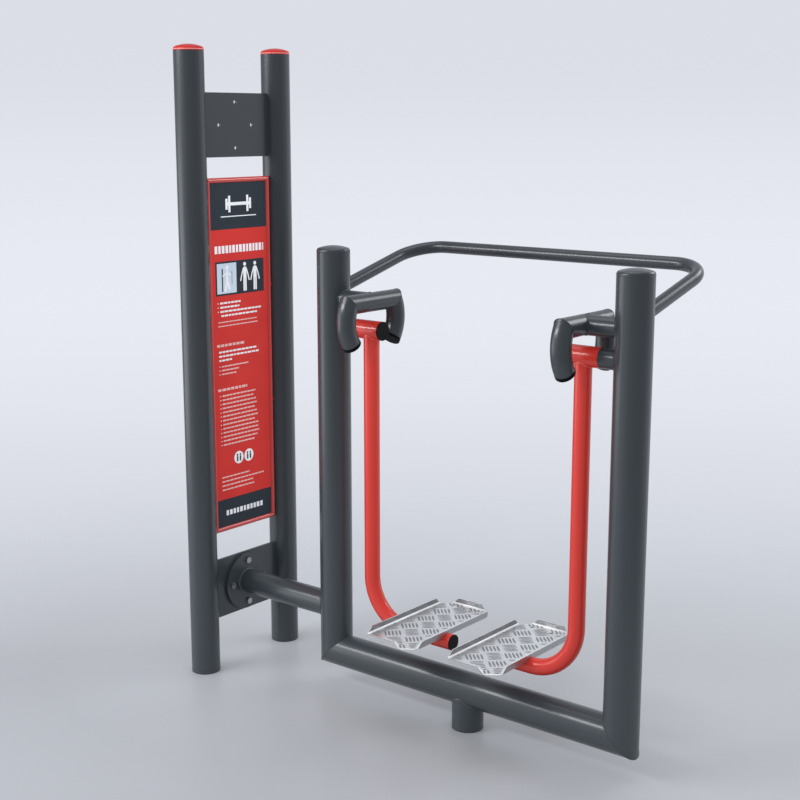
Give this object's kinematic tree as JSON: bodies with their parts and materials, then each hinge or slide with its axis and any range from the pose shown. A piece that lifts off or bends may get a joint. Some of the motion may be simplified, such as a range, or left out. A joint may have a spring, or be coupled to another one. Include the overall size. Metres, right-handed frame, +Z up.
{
  "type": "outdoor air walker",
  "caption": "Outdoor air walker: swinging legs with tread pedals hang in a steel tube frame with a hand rail, coupled to a pylon with a framed sign board.",
  "frame": {"origin": "on the ground, on the axis of the foot under the middle of the base bar", "axes": "+Z up; +Y from the middle of the walker to the hand rail; +X away from the pylon, along the swing axis"},
  "size_m": [1.5473, 0.6707, 2.002],
  "materials": {
    "anthracite": "semi-gloss powder coat, anthracite",
    "signal_red": "semi-gloss powder coat, signal red",
    "sign_face": "satin printed board, red field between dark bands",
    "zinc": "galvanised",
    "bearing_steel": "ground",
    "rubber": "matte black",
    "black_plastic": "black, fine grain",
    "tread": "bright rolled tread sheet"
  },
  "bodies": {
    "frame": {"pylon_post_front": "anthracite", "pylon_post_rear": "anthracite", "pylon_cap_front": "signal_red", "pylon_cap_rear": "signal_red", "upper_plate": "anthracite", "lower_plate": "anthracite", "sign_frame": "signal_red", "sign_board": "sign_face", "sign_lugs": "signal_red", "coupling_flange": "anthracite", "coupling_tube": "anthracite", "flange_bolts": "zinc", "flange_washers": "zinc", "flange_nuts": "zinc", "frame_post_left": "anthracite", "frame_post_right": "anthracite", "post_cap_left": "anthracite", "post_cap_right": "anthracite", "base_bar": "anthracite", "frame_foot": "anthracite", "hand_rail": "anthracite", "pivot_housing_left": "anthracite", "pivot_housing_right": "anthracite", "axle_left": "bearing_steel", "axle_right": "bearing_steel", "bearing_inner_rings": "bearing_steel", "bearing_balls": "bearing_steel", "axle_spacers": "bearing_steel", "axle_washers": "zinc", "axle_nuts": "zinc", "claw_stub_left": "anthracite", "claw_stub_right": "anthracite", "claw_bar_left": "anthracite", "claw_bar_right": "anthracite", "horn_front_left": "anthracite", "horn_front_right": "anthracite", "horn_rear_left": "anthracite", "horn_rear_right": "anthracite", "bumpers_left": "rubber", "bumpers_right": "rubber"},
    "left_leg": {"hub_left": "signal_red", "hub_cap_left": "black_plastic", "bearing_outer_rings_left": "bearing_steel", "circlip_left": "bearing_steel", "leg_tube_left": "signal_red", "leg_end_cap_left": "black_plastic", "pedal_straps_left": "zinc", "pedal_left": "tread", "pedal_studs_left": "zinc"},
    "right_leg": {"hub_right": "signal_red", "hub_cap_right": "black_plastic", "bearing_outer_rings_right": "bearing_steel", "circlip_right": "bearing_steel", "leg_tube_right": "signal_red", "leg_end_cap_right": "black_plastic", "pedal_straps_right": "zinc", "pedal_right": "tread", "pedal_studs_right": "zinc"}
  },
  "joints": [
    {"name": "left_swing", "type": "hinge", "parent": "frame", "child": "left_leg", "pos_m": [-0.36925, 0, 1.1615], "axis": [1, 0, 0], "range_deg": [-52, 52]},
    {"name": "right_swing", "type": "hinge", "parent": "frame", "child": "right_leg", "pos_m": [0.36925, 0, 1.1615], "axis": [1, 0, 0], "range_deg": [-52, 52]}
  ]
}
